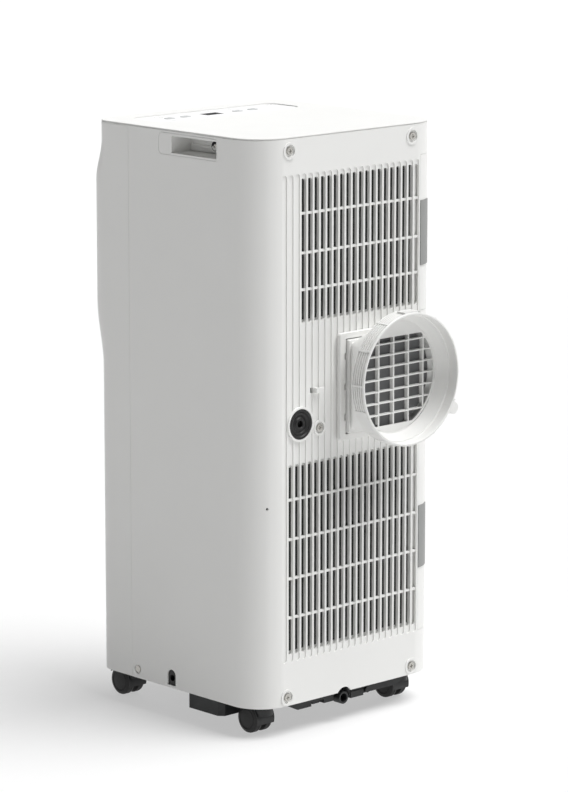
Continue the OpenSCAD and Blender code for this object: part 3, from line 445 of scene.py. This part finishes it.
@dataclass
class CaseShell:
    """Front and rear casings, top cover and the hand holds in the sides."""

    wall: float = mm(2.8)
    front_radius: float = mm(23)
    bulge: float = mm(10)
    swell: tuple[float, float, float, float] = (mm(391), mm(468), mm(606), mm(654))
    mouth_half: float = mm(98)
    mouth: tuple[float, float] = (mm(522), mm(594))
    pocket_depth: float = mm(30)
    step_drop: float = mm(13)
    step_out: float = mm(1.8)
    screw_in: float = mm(36)
    seam_gap: float = mm(0.45)

    def build(self) -> None:
        """Builds the shells and the hand holds."""
        self.front()
        panel_low, panel_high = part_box("rear_grille")
        cover_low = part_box("top_cover")[0]
        near = mm(0.02)

        def flush(edge: bmesh.types.BMEdge) -> bool:
            """Says whether an edge lies where the grille or the cover meets the casing without a line."""
            a, b = (v.co for v in edge.verts)
            if abs(a.z - cover_low.z) < near and abs(b.z - cover_low.z) < near:
                return True
            if any(abs(a.x - side) < near and abs(b.x - side) < near for side in (panel_low.x, panel_high.x)):
                return True
            across = all(panel_low.x - near < c.x < panel_high.x + near for c in (a, b))
            return across and any(abs(a.z - level) < near and abs(b.z - level) < near
                                  for level in (panel_low.z, panel_high.z))

        rounded_node("rear_casing", 0.5, keep=flush)
        rounded_node("rear_grille", 0.45, keep=flush)
        rounded_node("top_cover", 0.35, 3, keep=flush)
        for side in ("left", "right"):
            self.hand_hold("handle_" + side)

    def forward(self, height: float) -> float:
        """Says how far the front swells forward at a height."""
        start, full, leave, end = self.swell
        if height <= start or height >= end:
            return 0.0
        if height < full:
            return self.bulge * ease((height - start) / (full - start))
        if height > leave:
            return self.bulge * ease((end - height) / (end - leave))
        return self.bulge

    def plan(self, low: Vector, high: Vector) -> list[Vector]:
        """Gives the plan of the front casing, from the seam at +X round the front to the seam at -X.

        Args:
            low: Lowest corner of the casing.
            high: Highest corner of the casing.

        Returns:
            Points with z 0 and the front face unswollen.
        """
        half, front, r = high.x, low.y + self.bulge, self.front_radius
        seam = high.y - self.seam_gap
        turn = [math.radians(6 * k) for k in range(16)]
        right = [Vector((half - r + r * math.cos(t), front + r - r * math.sin(t), 0)) for t in turn]
        middle = [Vector((x, front, 0)) for x in (self.mouth_half, self.mouth_half / 3, -self.mouth_half / 3,
                                                   -self.mouth_half)]
        left = [Vector((-v.x, v.y, 0)) for v in reversed(right)]
        return [Vector((half, seam, 0)), *right, *middle, *left, Vector((-half, seam, 0))]

    def front(self) -> None:
        """Lofts the front casing with its swollen upper half, then opens the outlet and gives it its wall."""
        low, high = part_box("front_casing")
        start, full, leave, end = self.swell
        steps = 12
        levels = [low.z, *[start + (full - start) * k / steps for k in range(steps + 1)], *self.mouth,
                  *[leave + (end - leave) * k / steps for k in range(steps + 1)], high.z]
        plan = self.plan(low, high)
        bm = bmesh.new()
        ring = [bm.verts.new(point) for point in plan]
        edges = [bm.edges.new(pair) for pair in zip(ring, ring[1:])]
        for vert in ring:
            vert.co.z = levels[0]
        for level in levels[1:]:
            made = bmesh.ops.extrude_edge_only(bm, edges=edges)["geom"]
            edges = [g for g in made if isinstance(g, bmesh.types.BMEdge)]
            for vert in {v for e in edges for v in e.verts}:
                vert.co.z = level
        for vert in bm.verts:
            if vert.co.y < high.y - self.seam_gap - mm(1):
                vert.co.y -= self.forward(vert.co.z)
        inside = [f for f in bm.faces if abs(f.calc_center_median().x) < self.mouth_half - mm(1)
                  and self.mouth[0] < f.calc_center_median().z < self.mouth[1]]
        bmesh.ops.delete(bm, geom=inside, context="FACES")
        bmesh.ops.recalc_face_normals(bm, faces=bm.faces)
        outward = next(f for f in bm.faces if abs(f.normal.y) > 0.99)
        if outward.normal.y > 0:
            bmesh.ops.reverse_faces(bm, faces=bm.faces)
        bmesh.ops.solidify(bm, geom=bm.faces, thickness=self.wall)
        bmesh.ops.recalc_face_normals(bm, faces=bm.faces)
        round_edges(bm, mm(0.5), 3, 50)
        finish_piece(bm, "front_casing_moulding", "white_case", "case", "front_casing")

    def hand_hold(self, node: str) -> None:
        """Rounds a hand hold and adds the step and the screw on its pocket's back wall, over a black disc of
        painted shade for the screw's well.

        Args:
            node: CAD node of the hand hold.
        """
        piece_low, piece_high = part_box(node)
        side = 1 if piece_high.x > 0 else -1
        rounded_node(node, 0.9, 3)
        face = abs(piece_high.x if side > 0 else piece_low.x)
        back = side * (face - self.pocket_depth)
        level = piece_high.z - self.step_drop
        ends = sorted((back - side * mm(0.5), back + side * self.step_out))
        bm = bmesh.new()
        step = block(bm, (ends[0], piece_low.y + mm(22), piece_low.z + mm(3)),
                     (ends[1], piece_high.y - mm(3), level))
        top = [e for e in edges_of(step)
               if all(v.co.z > level - mm(0.1) and side * v.co.x > abs(back) for v in e.verts)]
        bevel(bm, top, mm(1.5), 4)
        finish_piece(bm, node + "_step", "white_case", "case")
        place, axis = Vector((back, piece_high.y - self.screw_in, level)), Vector((side, 0, 0))
        # Painted shade: a black disc stands for the dark inside of the screw's well.
        hole_shade, screw = bmesh.new(), bmesh.new()
        revolve(hole_shade, [(0, -0.5), (5.4, -0.5), (5.4, 1.85), (5.1, 2.0), (4.9, 1.85), (4.9, 0.4), (0, 0.4)],
                place, axis, 40)
        finish_piece(hole_shade, node + "_screw_hole_shade", "caster_black", "case")
        revolve(screw, [(0, 0.3), (2.6, 0.3), (2.6, 1.3), (2.0, 1.8), (0.9, 1.9), (0.9, 1.1), (0, 1.1)],
                place, axis, 32)
        finish_piece(screw, node + "_screw", "screw_steel", "case")


# ---------------------------------------------------------------- hose outlet


@dataclass
class HoseOutlet:
    """Frame, adapter, grid and the ribbed ring that a hose turns into."""

    outer: float = 75.6
    root: float = 73.5
    bore: float = 72.8
    throat: float = 64.5
    depth: float = 20.0
    ribs: int = 6
    strap_turn: float = 30.0
    strap_start: float = 1.0
    clip_at: float = -149.0

    def build(self) -> None:
        """Builds the frame with its catches, the adapter, the grid and the ring."""
        rounded_node("exhaust_frame", 1.0, 3)
        rounded_node("exhaust_adapter", 0.7, 3)
        rounded_node("exhaust_grid", 0.3)
        # Painted shade: a dark sheet behind the grid stands for the dim inside of the duct.
        self.shade_screen()
        self.ring()

    def centre(self) -> Vector:
        """Gives the middle of the ring's rim."""
        low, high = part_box("exhaust_grid")
        return Vector(((low.x + high.x) / 2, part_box("hose_ring")[1].y, (low.z + high.z) / 2))

    def outline(self) -> list[tuple[float, float]]:
        """Gives the ring's section: radius and distance behind the rim, in millimetres."""
        pitch = self.depth / self.ribs
        section = [(self.throat, -26.5), (self.throat + 2, -26.5), (self.root - 1, -self.depth - 0.4)]
        for k in reversed(range(self.ribs)):
            back, front = -(k + 0.84) * pitch, -(k + 0.24) * pitch
            section += [(self.root, back - 0.2), (self.outer - 0.25, back), (self.outer, back + 0.3),
                        (self.outer, front - 0.3), (self.outer - 0.25, front), (self.root, front + 0.2)]
        section = section[:-1]
        return section + [(self.outer - 0.6, -0.25), (self.outer - 1.2, 0), (self.bore + 0.7, 0),
                          (self.bore + 0.15, -0.3), (self.bore, -0.9), (self.bore, -12),
                          (self.bore - 0.3, -12.5), (self.bore - 1.7, -12.8), (self.bore - 2.1, -13.4),
                          (self.bore - 2.6, -16.4), (self.throat + 0.4, -25.9)]

    def shade_screen(self) -> None:
        """Lays a fine dark screen against the back of the grid's bars: painted shade that stands for the dim duct
        seen through the grid.
        """
        centre = self.centre()
        centre.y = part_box("exhaust_grid")[0].y
        bm = bmesh.new()
        rim = self.throat - 6.3
        # Painted shade: this dark grey disc gives the grid's cells the even dimness of the duct behind them.
        revolve(bm, [(0, 0.2), (rim, 0.2), (rim + 0.2, 0.5), (rim, 0.8), (0, 0.8)], centre, Vector((0, 1, 0)), 96)
        finish_piece(bm, "exhaust_shade_screen", "duct_grey", "hose_adapter")

    def ring(self) -> None:
        """Spins the ring, then adds its straps, smooth pad, thumb rest and clip."""
        centre = self.centre()
        bm = bmesh.new()
        revolve(bm, self.outline(), centre, Vector((0, 1, 0)), 144)
        trim = bmesh.new()
        for k in range(12):
            angle = self.strap_start + k * self.strap_turn
            if abs(angle - 91) < 5:
                continue
            arc_block(trim, (self.root - 0.8, self.outer + 0.5), (-19.6, -0.9), (angle - 0.8, angle + 0.8),
                      centre, 1)
        arc_block(trim, (self.root - 0.8, self.outer + 0.4), (-19.2, -1.6), (-46, -22), centre, 10)
        arc_block(trim, (self.root - 1, self.outer + 1.9), (-13.5, -1.0), (82, 98), centre, 8)
        arc_block(trim, (self.bore + 1, self.outer + 1.9), (-3.4, -0.3), (98.6, 101), centre, 2)
        round_edges(trim, mm(0.35), 2)
        self.clip(trim, centre)
        merge_into(bm, trim)
        finish_piece(bm, "hose_ring_moulding", "white_trim", "hose_adapter", "hose_ring", angle=28)

    def clip(self, bm: bmesh.types.BMesh, centre: Vector) -> None:
        """Adds the clip: a tongue with a round end and a rolled root.

        Args:
            bm: Mesh to add to.
            centre: Middle of the ring's rim.
        """
        half = mm(7.0)
        tongue = block(bm, (mm(self.bore + 0.6), -mm(7.4), -half), (mm(88.4), -mm(2.2), half))
        tips = [e for e in edges_of(tongue) if all(v.co.x > mm(86) for v in e.verts)
                and abs(e.verts[0].co.y - e.verts[1].co.y) > mm(2)]
        bevel(bm, tips, half * 0.96, 8)
        fresh = [v for v in bm.verts if v.co.length < mm(110)]
        sharp = [e for e in edges_of(fresh) if len(e.link_faces) == 2 and e.calc_face_angle(0) > 0.9]
        bevel(bm, sharp, mm(0.5), 2)
        roll_at = Matrix.Translation((mm(self.outer + 1.2), -mm(3.2), 0))
        bmesh.ops.create_cone(bm, cap_ends=True, segments=20, radius1=mm(1.7), radius2=mm(1.7),
                              depth=2 * half + mm(0.8), matrix=roll_at)
        for edge in (-1, 1):
            block(bm, (mm(self.bore + 0.4), -mm(8.6), edge * (half + mm(1.3)) - mm(0.6)),
                  (mm(self.outer + 1.3), -mm(0.4), edge * (half + mm(1.3)) + mm(0.6)))
        fresh = [v for v in bm.verts if v.co.length < mm(110)]
        turn = Matrix.Translation(centre) @ Matrix.Rotation(-math.radians(self.clip_at), 4, "Y")
        bmesh.ops.transform(bm, matrix=turn, verts=fresh)


def merge_into(bm: bmesh.types.BMesh, other: bmesh.types.BMesh) -> None:
    """Copies another mesh into this one and frees it."""
    carrier = bpy.data.meshes.new("carrier")
    other.to_mesh(carrier)
    other.free()
    bm.from_mesh(carrier)
    bpy.data.meshes.remove(carrier)


# ---------------------------------------------------------------- filters and fittings


@dataclass
class Filters:
    """Two pull-out filters with soft grips on their end caps."""

    grip_corner: float = mm(6)

    def build(self) -> None:
        """Builds both filters."""
        for name in ("upper_filter", "lower_filter"):
            rounded_node(name + "_frame", 0.35)
            self.grip(name + "_grip")

    def grip(self, node: str) -> None:
        """Rounds the far corners of a grip, then its edges.

        Args:
            node: CAD node of the grip.
        """
        low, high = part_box(node)
        bm = merged_copy(node)
        corners = []
        for edge in bm.edges:
            a, b = (v.co for v in edge.verts)
            level = abs(a.z - b.z) < mm(0.01) and min(abs(a.z - low.z), abs(a.z - high.z)) < mm(0.01)
            at_end = (a.y + b.y) / 2 < low.y + mm(0.3) and edge.calc_length() < mm(4)
            if level and at_end and any(abs(f.normal.z) > 0.9 for f in edge.link_faces):
                corners.append(edge)
        bevel(bm, corners, self.grip_corner, 6)
        round_edges(bm, mm(0.3), 2)
        finish_piece(bm, node + "_moulding", NODE_SLOT[node], NODE_BODY[node], node)


@dataclass
class RearFittings:
    """Drain plug, hook, cord gland and screws."""

    def build(self) -> None:
        """Builds the small parts on the rear."""
        self.plug()
        for name in ("hose_hook", "cord_gland", "drain_nozzle", "drain_spout"):
            rounded_node(name, 0.45)
        rounded_node("casing_screws", 0.3)

    def plug(self) -> None:
        """Spins the rubber drain plug with its rings."""
        low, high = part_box("drain_plug")
        centre = Vector(((low.x + high.x) / 2, high.y, (low.z + high.z) / 2))
        section = [(0, -6), (3.6, -6), (4.0, -5.6), (4.0, -1.2), (4.5, -0.7), (6.0, -0.6), (6.6, -0.9),
                   (7.0, -1.6), (8.6, -2.6), (9.6, -2.7), (10.2, -1.9), (11.4, -1.2), (12.8, -1.1),
                   (13.4, -1.5), (13.8, -0.9), (14.6, -0.2), (16.2, 0), (16.8, -0.3), (17.0, -0.9),
                   (17.0, -3.3), (16.6, -3.7), (8.0, -3.7), (7.9, -19.0), (7.4, -19.2), (0, -19.2)]
        bm = bmesh.new()
        revolve(bm, section, centre, Vector((0, 1, 0)), 72)
        finish_piece(bm, "drain_plug_moulding", "black_rubber", "drain_plug", "drain_plug")


# ---------------------------------------------------------------- base and casters


@dataclass
class Undercarriage:
    """Base pan and the four twin-wheel casters."""

    wheel_radius: float = 16.5
    half_gap: float = 3.5
    width: float = 9.5

    def build(self) -> None:
        """Builds the pan and the casters."""
        rounded_node("base_pan", 0.6)
        for corner in ("rear_left", "rear_right", "front_left", "front_right"):
            rounded_node("caster_" + corner + "_fork", 0.5, 3)
            self.wheels("caster_" + corner + "_wheels")

    def wheels(self, node: str) -> None:
        """Spins the pair of wheels and their axle.

        Args:
            node: CAD node of the wheels.
        """
        low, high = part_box(node)
        centre = (low + high) / 2
        r, w = self.wheel_radius, self.width
        tread = [(0, 0), (r - 1.2, 0), (r - 0.3, 0.3), (r, 1.1), (r, 3.2), (r - 0.4, 3.5), (r - 0.4, 4.1),
                 (r, 4.4), (r, w - 3.2), (r - 0.4, w - 2.0), (r - 1.6, w - 1.1), (r - 3.2, w - 0.6),
                 (r - 4.4, w - 0.5), (r - 4.8, w - 1.0), (r - 5.6, w - 1.0), (r - 6.0, w - 0.5),
                 (5.2, w - 0.1), (4.6, w), (1.2, w), (0, w - 0.1)]
        bm = bmesh.new()
        for side in (-1, 1):
            axis = Vector((side, 0, 0))
            revolve(bm, tread, centre + axis * mm(self.half_gap), axis, 72)
        revolve(bm, [(0, -4), (2.95, -4), (2.95, 4), (0, 4)], centre, Vector((1, 0, 0)), 32)
        finish_piece(bm, node + "_moulding", "tyre_black", NODE_BODY[node], node)


# ---------------------------------------------------------------- front outlet and controls


@dataclass
class FrontOutlet:
    """Outlet frame, swinging blade and five vanes."""

    def build(self) -> None:
        """Rounds the outlet's mouldings."""
        rounded_node("outlet_frame", 0.4)
        rounded_node("louver_blade", 0.5, 3)
        for k in range(1, 6):
            rounded_node("vane_%d" % k, 0.35)


@dataclass
class Controls:
    """Sunk panel with its display and four keys."""

    mark: float = 2.2

    def build(self) -> None:
        """Builds the panel, display and keys."""
        rounded_node("control_panel", 0.25)
        rounded_node("display_window", 0.25)
        for name in ("power", "mode", "cooler", "warmer"):
            rounded_node("button_" + name, 0.5, 3)
            self.key_mark("button_" + name)

    def key_mark(self, node: str) -> None:
        """Adds a small raised ring on a key, to find it by touch.

        Args:
            node: CAD node of the key.
        """
        low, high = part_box(node)
        centre = Vector(((low.x + high.x) / 2, (low.y + high.y) / 2, high.z))
        r = self.mark
        bm = bmesh.new()
        revolve(bm, [(r - 0.35, -0.1), (r - 0.25, 0.15), (r + 0.25, 0.15), (r + 0.35, -0.1)], centre,
                Vector((0, 0, 1)), 32)
        finish_piece(bm, node + "_mark", NODE_SLOT[node], NODE_BODY[node], finish=GREY_PS)


# ---------------------------------------------------------------- studio


@dataclass
class Studio:
    """Pale floor, soft light and the camera."""

    camera_at: Vector = field(default_factory=lambda: Vector((2.8588, 3.0520, 1.1884)))
    azimuth: float = 136.828
    elevation: float = 11.2025
    lens: float = 169.67
    floor_size: float = 60.0
    sun_towards: Vector = field(default_factory=lambda: Vector((-0.28, 0.323, 0.904)))
    sun_strength: float = 3.70
    sun_width: float = 42.0
    fill: float = 0.06
    table_glow: float = 0.47
    wall_distance: float = 14.0

    def build(self) -> None:
        """Places floor, lights and camera."""
        self.floor()
        self.wall()
        self.lights()
        self.camera()

    def floor(self) -> None:
        """Lays a pale floor, faintly lit from below like a light table, under the casters."""
        bm = bmesh.new()
        bmesh.ops.create_grid(bm, x_segments=1, y_segments=1, size=self.floor_size)
        mesh = bpy.data.meshes.new("studio_floor")
        bm.to_mesh(mesh)
        bm.free()
        floor = bpy.data.objects.new("studio_floor", mesh)
        bpy.context.scene.collection.objects.link(floor)
        mesh.materials.append(self.lit("studio_paper", "b4b4b4", self.table_glow))

    def wall(self) -> None:
        """Stands a softly lit wall far behind the part, for the sheen on its top."""
        az = math.radians(self.azimuth)
        away = Vector((-math.sin(az), math.cos(az), 0))
        bm = bmesh.new()
        bmesh.ops.create_grid(bm, x_segments=1, y_segments=1, size=1.0)
        upright = away.to_track_quat("Z", "Y").to_matrix().to_4x4()
        size = Matrix.Diagonal((9.0, 3.6, 1.0, 1.0))
        place = Matrix.Translation(away * self.wall_distance + Vector((0, 0, 3.7)))
        bmesh.ops.transform(bm, matrix=place @ upright @ size, verts=bm.verts)
        mesh = bpy.data.meshes.new("studio_wall")
        bm.to_mesh(mesh)
        bm.free()
        wall = bpy.data.objects.new("studio_wall", mesh)
        bpy.context.scene.collection.objects.link(wall)
        mesh.materials.append(self.lit("studio_cloth", "c8c8c8", 0.8))

    def lit(self, name: str, colour: str, glow: float) -> bpy.types.Material:
        """Gives a matt white studio finish that glows a little.

        Args:
            name: Name of the material.
            colour: Base colour, sRGB hex.
            glow: Strength of the glow.

        Returns:
            The material.
        """
        material = Finish(name, colour, colour, 0.9, 1.4, grain_mm=4, bump=0.0).build()
        surface = next(n for n in material.node_tree.nodes if n.type == "BSDF_PRINCIPLED")
        surface.inputs["Emission Color"].default_value = (1.0, 1.0, 1.0, 1.0)
        surface.inputs["Emission Strength"].default_value = glow
        return material

    def lights(self) -> None:
        """Adds the dim pale surround and one broad lamp far away, high over the rear."""
        world = bpy.data.worlds.new("studio_surround")
        world.use_nodes = True
        world.node_tree.nodes["Background"].inputs["Color"].default_value = (1.0, 1.0, 1.0, 1.0)
        world.node_tree.nodes["Background"].inputs["Strength"].default_value = self.fill
        bpy.context.scene.world = world
        light = bpy.data.lights.new("broad_lamp", "SUN")
        light.energy = self.sun_strength
        light.angle = math.radians(self.sun_width)
        lamp = bpy.data.objects.new("broad_lamp", light)
        lamp.rotation_euler = self.sun_towards.to_track_quat("Z", "Y").to_euler()
        bpy.context.scene.collection.objects.link(lamp)

    def camera(self) -> None:
        """Sets the camera that looks at the rear and the right side."""
        data = bpy.data.cameras.new("studio_camera")
        data.lens = self.lens
        data.sensor_width = 36.0
        data.clip_end = 200.0
        camera = bpy.data.objects.new("studio_camera", data)
        az, el = math.radians(self.azimuth), math.radians(self.elevation)
        back = Vector((math.sin(az) * math.cos(el), -math.cos(az) * math.cos(el), math.sin(el)))
        camera.location = self.camera_at
        camera.rotation_euler = back.to_track_quat("Z", "Y").to_euler()
        bpy.context.scene.collection.objects.link(camera)
        bpy.context.scene.camera = camera
        bpy.context.scene.view_settings.view_transform = "Standard"


def dress_frame() -> None:
    """Gives every CAD node the finish of its slot."""
    for node, obj in frame["nodes"].items():
        obj.data.materials.clear()
        obj.data.materials.append(SLOT_FINISH[NODE_SLOT[node]].build())


def main() -> None:
    """Builds every sub-assembly in order."""
    Studio().build()
    dress_frame()
    for assembly in (CaseShell(), HoseOutlet(), Filters(), RearFittings(), Undercarriage(), FrontOutlet(),
                     Controls()):
        assembly.build()
        log.info("%s is done", type(assembly).__name__)


if __name__ == "__main__":
    main()
